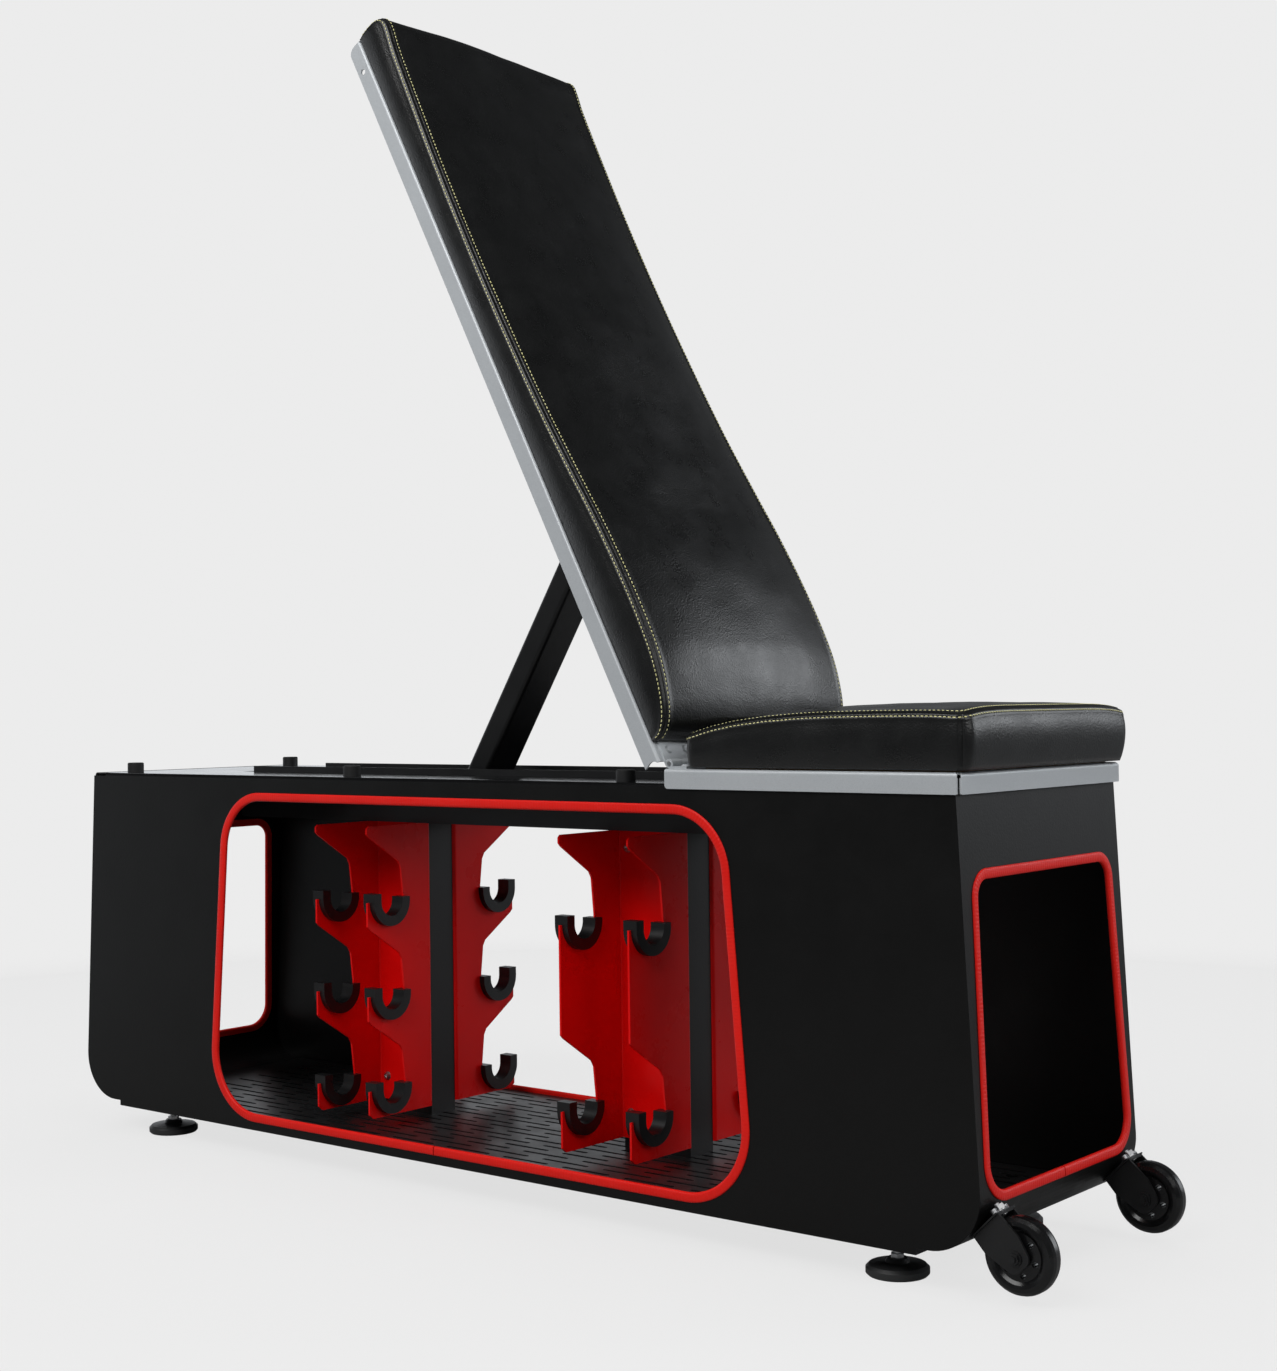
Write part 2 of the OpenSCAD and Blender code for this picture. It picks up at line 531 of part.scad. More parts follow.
module foot_3() foot(1, 1);
module foot_4() foot(-1, 1);
module stud(sx, sy) color([0.7, 0.7, 0.72]) place() translate([sx * foot_x, sy * foot_y, 5]) {
    cylinder(r = stud_r, h = 41);
    translate([0, 0, 11]) cylinder(r = 6.9, h = 4, $fn = 6);
}
module foot_studs_a() stud(-1, -1);
module foot_studs_b() stud(1, -1);
module foot_studs_c() stud(1, 1);
module foot_studs_d() stud(-1, 1);

// ---- transport wheels: local +Z leans back towards the cabinet ----
module caster_place(s) place() translate([wheel_x, s * wheel_y, wheel_z]) rotate([0, -45, 0]) children();
module caster_forks() color(black)
    for (s = [-1, 1]) caster_place(s) {
        difference() {
            union() {
                for (t = [-1, 1]) xz(t < 0 ? -14.5 : 12, t < 0 ? -12 : 14.5)
                    polygon(rounded([[-20, 38.2], [-21, 22], [-12, -11], [11, -12], [17, 12], [15.5, 38.2]], [0, 10, 9, 9, 12, 0], 6));
                box([-20, -14.5, 36.2], [15.5, 14.5, 38.2]);
            }
            yrod(axle_r, 60);
            for (t = [-1, 1]) translate([t * 11, 0, 30]) cylinder(r = 2.6, h = 20);
        }
        difference() {
            box([-21, -18, 38.2], [15.5, 18, 39.6]);
            for (t = [-1, 1]) translate([t * 11, 0, 30]) cylinder(r = 2.6, h = 20);
        }
    }
module caster_axles() color([0.15, 0.15, 0.16])
    for (s = [-1, 1]) caster_place(s) {
        yrod(axle_r, 33);
        translate([0, -16, 0]) rotate([90, 0, 0]) { cylinder(r = 5.6, h = 2.4, $fn = 6); cylinder(r = 3, h = 4.2); }
        translate([0, 16, 0]) rotate([-90, 0, 0]) cylinder(r = 5.6, h = 4, $fn = 6);
        for (t = [-1, 1]) translate([0, t * 15.25, 0]) yrod(7, 1.5);
    }
module caster_bolts() color([0.75, 0.75, 0.77])
    for (s = [-1, 1]) caster_place(s) {
        for (t = [-1, 1]) translate([t * 11, 0, 0]) {
            translate([0, 0, 35.85]) cylinder(r = 4, h = 0.35);
            translate([0, 0, 35.9]) cylinder(r = 2.5, h = 3.7);
        }
        // spacer stack that closes the gap under the cabinet's rounded corner
        translate([11, 0, 39.6]) { cylinder(r = 8, h = 1.4); cylinder(r = 6.4, h = 6, $fn = 6); cylinder(r = 3, h = 8.4); }
        translate([11, -10, 39.6]) cylinder(r = 3.2, h = 4.6);
        translate([11, 10, 39.6]) cylinder(r = 3.2, h = 4.6);
    }
module wheel(s) color(black) caster_place(s)
    difference() {
        rotate([90, 0, 0]) translate([0, 0, -wheel_w / 2]) rotate_extrude()
            polygon([[axle_r + 0.06, -1], [11, -1], [11, 1.5], [22, 3], [25, 1], [28, 0], [wheel_d / 2 - 4, 0.8], [wheel_d / 2 - 1, 3.6], [wheel_d / 2, 7],
                     [wheel_d / 2, wheel_w - 7], [wheel_d / 2 - 1, wheel_w - 3.6], [wheel_d / 2 - 4, wheel_w - 0.8], [28, wheel_w], [25, wheel_w - 1], [22, wheel_w - 3], [11, wheel_w - 1.5], [11, wheel_w + 1], [axle_r + 0.06, wheel_w + 1]]);
        for (i = [0:5]) rotate([0, i * 60, 0]) translate([17, 0, 0]) yrod(3, 40);
    }
module wheel_near() wheel(-1);
module wheel_far() wheel(1);

side_panel_near();
side_panel_far();
end_panel_head();
end_panel_foot();
top_plate();
strut_trough();
ladder_rails();
floor_tray();
base_pan();
opening_trim_near();
opening_trim_far();
opening_trim_head();
opening_trim_foot();
rack_column_head();
rack_column_foot();
rack_head_near();
rack_head_far();
rack_foot_near();
rack_foot_far();
saddles_head_near();
saddles_head_far();
saddles_foot_near();
saddles_foot_far();
rack_screws();
bumpers();
bumper_screws();
seat_tray();
seat_spacers();
seat_board();
seat_pad();
seat_bolts();
hinge_leaves_seat();
hinge_pins();
hinge_leaves_back();
hinge_rivets_seat();
hinge_rivets_back();
back_tray();
back_board();
back_pad();
back_bolts();
strut_clevis();
strut_pivot_pin();
strut_tube();
strut_bush();
strut_foot_bar();
strut_end_cap();
foot_nuts();
foot_1();
foot_2();
foot_3();
foot_4();
foot_studs_a();
foot_studs_b();
foot_studs_c();
foot_studs_d();
caster_forks();
caster_axles();
caster_bolts();
wheel_near();
wheel_far();
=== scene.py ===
import bpy
import bmesh
import json
import math
import random
from mathutils import Matrix, Vector, noise
from mathutils.bvhtree import BVHTree


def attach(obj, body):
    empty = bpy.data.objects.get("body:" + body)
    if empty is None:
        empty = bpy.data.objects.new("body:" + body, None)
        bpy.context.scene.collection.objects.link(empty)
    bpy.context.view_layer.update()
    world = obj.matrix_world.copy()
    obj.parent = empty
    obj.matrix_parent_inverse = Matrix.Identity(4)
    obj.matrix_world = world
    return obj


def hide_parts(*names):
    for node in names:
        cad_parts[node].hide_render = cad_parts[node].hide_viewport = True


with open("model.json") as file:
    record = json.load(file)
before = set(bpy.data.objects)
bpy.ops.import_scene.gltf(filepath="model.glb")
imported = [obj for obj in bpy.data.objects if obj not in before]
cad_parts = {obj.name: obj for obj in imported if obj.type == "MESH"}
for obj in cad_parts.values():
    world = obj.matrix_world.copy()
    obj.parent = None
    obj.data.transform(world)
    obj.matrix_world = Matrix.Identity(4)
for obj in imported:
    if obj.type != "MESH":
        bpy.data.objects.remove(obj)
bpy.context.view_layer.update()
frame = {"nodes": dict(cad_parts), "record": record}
sc = bpy.context.scene
NODES = frame["nodes"]
SX = -0.031  # the drawing's cabinet centre in the row frame

# ---------------------------------------------------------------- camera
psi, th, ro = 0.681849, 0.0090798, -0.0127957
F = Vector((-math.sin(psi) * math.cos(th), math.cos(psi) * math.cos(th), math.sin(th)))
R0 = Vector((math.cos(psi), math.sin(psi), 0))
U0 = R0.cross(F)
R = R0 * math.cos(ro) + U0 * math.sin(ro)
U = -R0 * math.sin(ro) + U0 * math.cos(ro)
cd = bpy.data.cameras.new("cam")
cam = bpy.data.objects.new("cam", cd)
sc.collection.objects.link(cam)
m = Matrix.Identity(4)
for i in range(3):
    m[i][0], m[i][1], m[i][2] = R[i], U[i], -F[i]
m[0][3], m[1][3], m[2][3] = 1.5597 + SX, -1.7425, 0.5426
cam.matrix_world = m
cd.sensor_fit = "HORIZONTAL"
cd.sensor_width = 36
cd.lens = 56.617
cd.clip_end = 60
sc.camera = cam
sc.view_settings.view_transform = "Standard"
sc.view_settings.look = "None"


# ---------------------------------------------------------------- materials
class N:
    """Small helper round a node tree."""

    def __init__(self, name):
        self.m = bpy.data.materials.new(name)
        self.m.use_nodes = True
        self.t = self.m.node_tree
        self.b = self.t.nodes["Principled BSDF"]
        self.co = self.t.nodes.new("ShaderNodeTexCoord")
        self.normal = None

    def new(self, kind, **kw):
        n = self.t.nodes.new(kind)
        for k, v in kw.items():
            setattr(n, k, v)
        return n

    def link(self, a, b):
        self.t.links.new(a, b)

    def noise(self, scale, detail=2.0, rough=0.5, stretch=None, distortion=0.0, coord="Object"):
        n = self.new("ShaderNodeTexNoise")
        n.inputs["Scale"].default_value = scale
        n.inputs["Detail"].default_value = detail
        n.inputs["Roughness"].default_value = rough
        n.inputs["Distortion"].default_value = distortion
        src = self.co.outputs[coord]
        if stretch:
            mp = self.new("ShaderNodeMapping")
            mp.inputs["Scale"].default_value = stretch
            self.link(src, mp.inputs["Vector"])
            src = mp.outputs["Vector"]
        self.link(src, n.inputs["Vector"])
        return n.outputs["Fac"]

    def voronoi(self, scale, feature="F1", coord="Object", stretch=None):
        n = self.new("ShaderNodeTexVoronoi", feature=feature)
        n.inputs["Scale"].default_value = scale
        src = self.co.outputs[coord]
        if stretch:
            mp = self.new("ShaderNodeMapping")
            mp.inputs["Scale"].default_value = stretch
            self.link(src, mp.inputs["Vector"])
            src = mp.outputs["Vector"]
        self.link(src, n.inputs["Vector"])
        return n.outputs["Distance"]

    def ramp(self, fac, lo, hi, a, b):
        """a below lo, b above hi, for a number or a colour"""
        n = self.new("ShaderNodeMapRange" if not isinstance(a, tuple) else "ShaderNodeValToRGB")
        if isinstance(a, tuple):
            n.color_ramp.elements[0].position, n.color_ramp.elements[1].position = lo, hi
            n.color_ramp.elements[0].color = (*a, 1)
            n.color_ramp.elements[1].color = (*b, 1)
            self.link(fac, n.inputs["Fac"])
            return n.outputs["Color"]
        n.inputs["From Min"].default_value, n.inputs["From Max"].default_value = lo, hi
        n.inputs["To Min"].default_value, n.inputs["To Max"].default_value = a, b
        self.link(fac, n.inputs["Value"])
        return n.outputs["Result"]

    def bump(self, height, strength, distance):
        n = self.new("ShaderNodeBump")
        n.inputs["Strength"].default_value = strength
        n.inputs["Distance"].default_value = distance
        self.link(height, n.inputs["Height"])
        if self.normal is not None:
            self.link(self.normal, n.inputs["Normal"])
        self.normal = n.outputs["Normal"]
        return self

    def done(self, color=None, rough=None, metal=0.0, spec=0.5, sheen=0.0, coat=0.0, coat_rough=0.1, ior=1.5):
        b = self.b
        if isinstance(color, tuple):
            b.inputs["Base Color"].default_value = (*color, 1)
        elif color is not None:
            self.link(color, b.inputs["Base Color"])
        if isinstance(rough, float):
            b.inputs["Roughness"].default_value = rough
        elif rough is not None:
            self.link(rough, b.inputs["Roughness"])
        b.inputs["Metallic"].default_value = metal
        b.inputs["Specular IOR Level"].default_value = spec
        b.inputs["Sheen Weight"].default_value = sheen
        b.inputs["Coat Weight"].default_value = coat
        b.inputs["Coat Roughness"].default_value = coat_rough
        b.inputs["IOR"].default_value = ior
        if self.normal is not None:
            self.link(self.normal, b.inputs["Normal"])
        return self.m


def powder(name, c1, c2, rough=0.42, spread=0.06, spec=0.5, metal=0.0, peel=0.25, scale=420):
    n = N(name)
    col = n.ramp(n.noise(9, 4, 0.6), 0.3, 0.72, c1, c2)
    r = n.ramp(n.noise(22, 5, 0.62), 0.3, 0.75, rough - spread, rough + spread)
    n.bump(n.noise(scale, 2, 0.5), peel, 0.0004)
    n.bump(n.noise(6, 1, 0.5), 0.12, 0.002)
    return n.done(col, r, metal, spec)


M = {}
M["cabinet_black"] = powder("mat_cabinet_black", (0.0030, 0.0030, 0.0029), (0.0038, 0.0038, 0.0037), 0.38, 0.05, 0.22)
M["cabinet_top"] = powder("mat_cabinet_top", (0.0034, 0.0034, 0.0036), (0.0044, 0.0044, 0.0046), 0.14, 0.03, 0.5, 0.0, 0.10)
M["foot_plastic"] = powder("mat_foot_plastic", (0.020, 0.0205, 0.021), (0.030, 0.0305, 0.031), 0.42, 0.06, 0.5)
M["tray_black"] = powder("mat_tray_black", (0.0075, 0.0075, 0.008), (0.0105, 0.0105, 0.011), 0.36, 0.06, 0.45)
M["strut_black"] = powder("mat_strut_black", (0.0036, 0.0036, 0.0038), (0.005, 0.005, 0.0052), 0.4, 0.05, 0.35)
M["rack_red"] = powder("mat_rack_red", (0.76, 0.002, 0.002), (0.84, 0.003, 0.003), 0.3, 0.05, 0.18, 0.0, 0.3, 300)

n = N("mat_silver")
fl = n.voronoi(1500, "F1")
col = n.ramp(fl, 0.0, 0.75, (0.56, 0.585, 0.605), (0.47, 0.495, 0.515))
n.bump(n.noise(500, 2, 0.5), 0.2, 0.0003)
n.bump(fl, 0.12, 0.0002)
M["tray_silver"] = n.done(col, n.ramp(n.noise(16, 4, 0.6), 0.3, 0.7, 0.34, 0.44), 0.2, 0.5)

n = N("mat_trim_red")
col = n.ramp(n.noise(14, 3, 0.55), 0.3, 0.7, (0.76, 0.009, 0.005), (0.82, 0.013, 0.007))
w = n.new("ShaderNodeTexWave", wave_type="BANDS", bands_direction="X")
w.inputs["Scale"].default_value = 1.0
w.inputs["Distortion"].default_value = 0.3
n.link(n.co.outputs["UV"], w.inputs["Vector"])
n.bump(w.outputs["Fac"], 0.35, 0.0004)
n.bump(n.noise(260, 3, 0.6), 0.2, 0.0004)
M["trim_red"] = n.done(col, n.ramp(n.noise(40, 4, 0.6), 0.3, 0.7, 0.36, 0.48), 0.0, 0.22)

n = N("mat_leather")
g1 = n.voronoi(620, "SMOOTH_F1")
g2 = n.noise(900, 3, 0.6)
big = n.noise(14, 5, 0.62)
creases = n.noise(46, 6, 0.7, stretch=(1.0, 0.45, 1.0), distortion=0.6)
col = n.ramp(big, 0.3, 0.7, (0.0036, 0.0038, 0.0038), (0.0056, 0.0058, 0.0058))
rough = n.ramp(n.noise(30, 5, 0.65), 0.3, 0.72, 0.25, 0.36)
# short sharp creases, only where a broad mask lets them through
line = n.new("ShaderNodeMath", operation="SUBTRACT")
line.inputs[1].default_value = 0.5
n.link(n.noise(17, 5, 0.62, distortion=1.2), line.inputs[0])
ab = n.new("ShaderNodeMath", operation="ABSOLUTE")
n.link(line.outputs[0], ab.inputs[0])
thin = n.ramp(ab.outputs[0], 0.0, 0.022, 0.0, 1.0)
mask = n.ramp(n.noise(7, 2, 0.5), 0.5, 0.62, 1.0, 0.0)
mk = n.new("ShaderNodeMath", operation="MAXIMUM")
n.link(thin, mk.inputs[0])
n.link(mask, mk.inputs[1])
n.bump(g1, 0.34, 0.0005)
n.bump(g2, 0.18, 0.0003)
n.bump(creases, 0.14, 0.0022)
n.bump(mk.outputs[0], 0.05, 0.0005)
M["pad_leather"] = n.done(col, rough, 0.0, 0.5)

n = N("mat_thread")
w = n.new("ShaderNodeTexWave", wave_type="BANDS", bands_direction="DIAGONAL")
w.inputs["Scale"].default_value = 700
n.link(n.co.outputs["Object"], w.inputs["Vector"])
col = n.ramp(n.noise(60, 3, 0.6), 0.3, 0.7, (0.80, 0.76, 0.34), (0.92, 0.88, 0.48))
n.bump(w.outputs["Fac"], 0.5, 0.0002)
THREAD = n.done(col, 0.6, 0.0, 0.3)

n = N("mat_plywood")
w = n.new("ShaderNodeTexWave", wave_type="BANDS", bands_direction="Z")
w.inputs["Scale"].default_value = 90
w.inputs["Distortion"].default_value = 1.2
n.link(n.co.outputs["Object"], w.inputs["Vector"])
col = n.ramp(w.outputs["Fac"], 0.1, 0.9, (0.42, 0.27, 0.13), (0.62, 0.44, 0.25))
n.bump(n.noise(120, 4, 0.6, stretch=(0.15, 1, 1)), 0.3, 0.0006)
M["board_wood"] = n.done(col, 0.62, 0.0, 0.35)

n = N("mat_zinc")
sp = n.voronoi(160, "F1")
col = n.ramp(sp, 0.1, 0.8, (0.60, 0.60, 0.60), (0.46, 0.465, 0.48))
n.bump(n.noise(700, 3, 0.6), 0.15, 0.0002)
M["zinc_steel"] = n.done(col, n.ramp(n.noise(60, 4, 0.6), 0.3, 0.7, 0.26, 0.42), 1.0, 0.5)

M["black_steel"] = powder("mat_black_steel", (0.007, 0.007, 0.0074), (0.011, 0.011, 0.0115), 0.34, 0.06, 0.42)

n = N("mat_rubber")
col = n.ramp(n.noise(30, 4, 0.6), 0.3, 0.7, (0.006, 0.006, 0.0062), (0.0095, 0.0095, 0.0098))
n.bump(n.noise(900, 3, 0.6), 0.3, 0.0003)
M["bumper_rubber"] = n.done(col, n.ramp(n.noise(50, 3, 0.6), 0.3, 0.7, 0.5, 0.66), 0.0, 0.45)

n = N("mat_saddle")
col = n.ramp(n.noise(26, 4, 0.6), 0.3, 0.7, (0.0045, 0.0045, 0.0048), (0.007, 0.007, 0.0074))
n.bump(n.noise(650, 2, 0.5), 0.25, 0.0003)
M["saddle_plastic"] = n.done(col, n.ramp(n.noise(45, 4, 0.6), 0.3, 0.7, 0.30, 0.42), 0.0, 0.35)

n = N("mat_wheel")
col = n.ramp(n.noise(34, 4, 0.6), 0.3, 0.7, (0.004, 0.004, 0.0043), (0.0062, 0.0062, 0.0066))
n.bump(n.noise(240, 3, 0.55), 0.12, 0.0004)
M["wheel_gloss"] = n.done(col, n.ramp(n.noise(70, 5, 0.65), 0.3, 0.7, 0.16, 0.3), 0.0, 0.4)

slot_of = {s["node"]: s["material_slot"] for s in frame["record"]["subparts"]}
SOFT = {"back_pad", "seat_pad"}
TRIMS = {"opening_trim_near", "opening_trim_far", "opening_trim_head", "opening_trim_foot"}
BEVEL = {"saddles_head_near": 1.3, "saddles_head_far": 1.3, "saddles_foot_near": 1.3, "saddles_foot_far": 1.3,
         "strut_trough": 0.5, "ladder_rails": 0.5, "rack_head_near": 0.6, "rack_head_far": 0.6, "rack_foot_near": 0.6,
         "rack_foot_far": 0.6, "bumpers": 0.7, "seat_spacers": 0.5, "strut_clevis": 0.6, "strut_end_cap": 0.6,
         "caster_forks": 0.5, "rack_column_head": 0.8, "rack_column_foot": 0.8,
         "hinge_leaves_seat": 0.4, "hinge_leaves_back": 0.4, "foot_nuts": 0.5, "base_pan": 0.6,
         "seat_tray": 0.45, "back_tray": 0.45}
for name, o in NODES.items():
    o.data.materials.clear()
    o.data.materials.append(M["cabinet_top" if name == "top_plate" else "foot_plastic" if name[:5] == "foot_" and name[5:].isdigit() else slot_of[name]])
    if name in BEVEL:
        b = o.modifiers.new("soft_edges", "BEVEL")
        b.width = BEVEL[name] / 1000
        b.segments = 2
        b.limit_method = "ANGLE"
        b.angle_limit = math.radians(35)
        b.use_clamp_overlap = False
        b.harden_normals = False


# ---------------------------------------------------------------- mesh helpers
def make(name, verts, faces, mat, body, smooth=True):
    me = bpy.data.meshes.new(name)
    me.from_pydata([tuple(v) for v in verts], [], faces)
    me.validate()
    bm = bmesh.new()
    bm.from_mesh(me)
    bmesh.ops.remove_doubles(bm, verts=bm.verts, dist=1e-6)
    bmesh.ops.recalc_face_normals(bm, faces=bm.faces)
    bm.to_mesh(me)
    bm.free()
    if smooth:
        for p in me.polygons:
            p.use_smooth = True
    o = bpy.data.objects.new(name, me)
    sc.collection.objects.link(o)
    me.materials.append(mat)
    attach(o, body)
    return o


def lerp_table(tab, x):
    if x <= tab[0][0]:
        return tab[0][1]
    for (x0, y0), (x1, y1) in zip(tab, tab[1:]):
        if x <= x1:
            t = (x - x0) / (x1 - x0)
            return y0 + (y1 - y0) * t
    return tab[-1][1]


def catmull(P, step):
    """Smooth curve through 2D points, resampled evenly at about step."""
    out = []
    n = len(P)
    for i in range(n - 1):
        p0, p1, p2, p3 = P[max(i - 1, 0)], P[i], P[i + 1], P[min(i + 2, n - 1)]
        seg = max(4, int(math.dist(p1, p2) / 1.0))
        for k in range(seg):
            t = k / seg
            out.append(tuple(0.5 * ((2 * p1[c]) + (-p0[c] + p2[c]) * t + (2 * p0[c] - 5 * p1[c] + 4 * p2[c] - p3[c]) * t * t
                                    + (-p0[c] + 3 * p1[c] - 3 * p2[c] + p3[c]) * t ** 3) for c in range(2)))
    out.append(tuple(P[-1]))
    return resample(out, step)


def resample(pts, step):
    L = [0.0]
    for a, b in zip(pts, pts[1:]):
        L.append(L[-1] + math.dist(a, b))
    k = max(2, int(round(L[-1] / step)))
    res, j = [], 0
    for i in range(k + 1):
        s = L[-1] * i / k
        while j < len(L) - 2 and L[j + 1] < s:
            j += 1
        t = 0 if L[j + 1] == L[j] else (s - L[j]) / (L[j + 1] - L[j])
        res.append(tuple(pts[j][c] + (pts[j + 1][c] - pts[j][c]) * t for c in range(len(pts[0]))))
    return res


def smooth01(t):
    t = max(0.0, min(1.0, t))
    return t * t * (3 - 2 * t)


def seam_relief(d):
    """Height over the leather at d mm from a top-stitched seam: a raised fold with a groove in the seam and a dent at each row."""
    a = abs(d)
    h = 0.9 * (1 - smooth01((a - 4.5) / 4.5))
    h -= 1.9 * math.exp(-(a / 0.9) ** 2)
    h -= 0.45 * math.exp(-((a - 4.0) / 0.7) ** 2)
    return h


def nz(x, y, z, s):
    return noise.noise(Vector((x / s, y / s, z / s)))


# distances in mm from a seam at which the mesh has a row
NEAR = [0.0, 0.7, 1.5, 2.5, 3.5, 4.0, 4.6, 5.6, 7.0, 9.0, 12.0]


def stitches(name, lines, obj, body, length=3.4, gap=1.3, r=0.50):
    """Thread laid along lines (lists of points, m) on obj's surface, as separate slanted stitches sunk at both ends."""
    dg = bpy.context.evaluated_depsgraph_get()
    bm = bmesh.new()
    bm.from_mesh(obj.data)
    tree = BVHTree.FromBMesh(bm)
    bm.free()
    verts, faces = [], []
    rng = random.Random(7)
    for line in lines:
        pts = resample([tuple(p) for p in line], (length + gap) / 1000)
        for a, b in zip(pts, pts[1:]):
            a, b = Vector(a), Vector(b)
            e = (b - a).normalized()
            mid = (a + b) / 2
            loc, nor, _, _ = tree.find_nearest(mid)
            if loc is None:
                continue
            side = e.cross(nor).normalized()
            e2 = (e + side * 0.10).normalized()
            half = length / 2000 * (1 + rng.uniform(-0.06, 0.06))
            k0 = len(verts)
            rings = 5
            for i in range(rings):
                t = -1 + 2 * i / (rings - 1)
                c = mid + e2 * half * t
                l2, n2, _, _ = tree.find_nearest(c)
                lift = (0.30 - 0.75 * t ** 4) / 1000
                c = l2 + nor * lift
                rr = r / 1000 * (1 - 0.45 * t ** 4)
                for k in range(6):
                    an = k * math.pi / 3
                    verts.append(c + side * (rr * math.cos(an)) + nor * (rr * math.sin(an)))
            for i in range(rings - 1):
                for k in range(6):
                    faces.append((k0 + i * 6 + k, k0 + i * 6 + (k + 1) % 6, k0 + (i + 1) * 6 + (k + 1) % 6, k0 + (i + 1) * 6 + k))
            faces.append(tuple(k0 + k for k in range(5, -1, -1)))
            faces.append(tuple(k0 + (rings - 1) * 6 + k for k in range(6)))
    me = bpy.data.meshes.new(name)
    me.from_pydata([tuple(v) for v in verts], [], faces)
    me.validate()
    for p in me.polygons:
        p.use_smooth = True
    o = bpy.data.objects.new(name, me)
    sc.collection.objects.link(o)
    me.materials.append(THREAD)
    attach(o, body)
    return o


# ---------------------------------------------------------------- back pad
TH = math.radians(62.64)
P0 = Vector((0.3093 + SX, 0, 0.482))
D = Vector((-math.cos(TH), 0, math.sin(TH)))
NN = Vector((math.sin(TH), 0, math.cos(TH)))


def bp(s, y, n):
    return P0 + D * (s / 1000) + Vector((0, y / 1000, 0)) + NN * (n / 1000)


# outline of the side panel: along the back, height over the hinge plane
OUT = [(29, -5), (26.5, 0), (27, 7), (31, 14), (38, 21), (50, 28), (66, 33.5), (88, 39), (112, 42.5), (150, 44.5), (200, 44.5), (260, 42),
       (330, 36.5), (415, 31), (520, 28), (625, 27.5), (740, 30), (867, 36), (905, 40), (918, 40.5), (926, 36), (930, 28), (931, 14), (930.5, 2), (929.5, -5)]
CROWN = [(20, 7), (52, 9), (110, 13), (168, 13.5), (277, 13), (400, 19), (521, 23), (700, 19), (860, 10), (905, 4.5), (931, 3)]
outline = catmull(OUT, 5.0)
nu = len(outline)
tang = []
for i in range(nu):
    a, b = outline[max(i - 1, 0)], outline[min(i + 1, nu - 1)]
    l = math.dist(a, b)
    tang.append(((b[0] - a[0]) / l, (b[1] - a[1]) / l))
norm2 = [(-t[1], t[0]) for t in tang]  # outward: the outline runs from the hinge end to the head end over the top
HW = 161.0
vs = sorted(set([HW - d for d in NEAR] + [HW - 12 - 8 * k for k in range(1, 19)] + [0.0]))
vs = [v for v in vs if v >= 0]
vlist = [-v for v in reversed(vs) if v > 0] + vs  # -HW .. HW
ws = []  # side panel rows as distance from the seam, mm, then as parts of what is left
for d in NEAR[1:]:
    ws.append(d)
WROWS = 9


def side_point(i, sgn, w_mm):
    """Point of the side panel on the line from outline point i to the base line, w_mm below the seam."""
    s, n_ = outline[i]
    base_s = max(31.0, min(928.5, s))
    bs, bn = base_s, -5.0
    L = math.dist((s, n_), (bs, bn))
    if L < 1e-6:
        return bp(s, sgn * HW, n_), 1.0
    w = min(w_mm / L, 1.0)
    ps, pn = s + (bs - s) * w, n_ + (bn - n_) * w
    depth = min(L, 50) / 50
    bulge = (5.2 * depth) * (math.sin(math.pi * min(1.0, w ** 0.75)) ** 0.8) if 0 < w < 1 else 0.0
    edge = seam_relief(w_mm) * (1 if L > 14 else L / 14)
    if w >= 1:
        edge *= 0.0
    # puckers where the leather is pulled over the tray's edge
    near_base = math.exp(-((1 - w) * L / 7.0) ** 2) if w < 1 else 0
    wave = 0.8 * near_base * max(0.0, nz(ps, 40 * sgn, 0, 26) + 0.25) * math.sin(ps * 0.52 + 4 * nz(ps, 9, 3, 55))
    und = 0.7 * nz(ps, pn + 200 * sgn, 7, 60) * math.sin(math.pi * w)
    y = HW + bulge + edge + wave + und - 0.8 * w
    return bp(ps, sgn * y, pn), w


verts, faces = [], []
grid = []
rows = []
# column order: far base .. far seam .. crown .. near seam .. near base
for i in range(nu):
    s, n_ = outline[i]
    t2, m2 = tang[i], norm2[i]
    base_s = max(31.0, min(928.5, s))
    L = math.dist((s, n_), (base_s, -5.0))
    dn = [d for d in NEAR[1:]]
    seq = [min(d, L * (0.06 + 0.94 * k / (len(dn) + WROWS))) if L < 30 else d for k, d in enumerate(dn)]
    last = seq[-1] if seq else 0
    seq = seq + [last + (L - last) * (k + 1) / WROWS for k in range(WROWS)]
    row = []
    for w in reversed(seq):
        row.append(side_point(i, -1, w)[0])
    cr = lerp_table(CROWN, s) if i > 3 else 3 + i
    if i > nu - 8:
        cr = min(cr, 1.0 + 0.5 * (nu - i))
    for v in vlist:
        q = abs(v) / HW
        h = cr * (1 - q ** 2.3)
        h += seam_relief(HW - abs(v))
        h += 1.1 * nz(s, v, 11, 95) * (1 - q ** 4) + 0.5 * nz(s, v, 4, 38) * (1 - q ** 6)
        y = v
        row.append(bp(s + m2[0] * h, y, n_ + m2[1] * h))
    for w in seq:
        row.append(side_point(i, 1, w)[0])
    rows.append(row)
nc = len(rows[0])
seam_lo = len(dn) + WROWS
for r_ in rows:
    verts.extend(r_)
for i in range(nu - 1):
    for j in range(nc - 1):
        a = i * nc + j
        faces.append((a, a + 1, a + nc + 1, a + nc))
# flat base against the tray, in strips from one side's base line to the other
for i in range(nu - 1):
    faces.append((i * nc, (i + 1) * nc, (i + 1) * nc + nc - 1, i * nc + nc - 1))
faces.append(tuple(range(nc)))
faces.append(tuple((nu - 1) * nc + j for j in reversed(range(nc))))
pad = make("back_cushion", verts, faces, M["pad_leather"], "backrest")
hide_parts("back_pad")


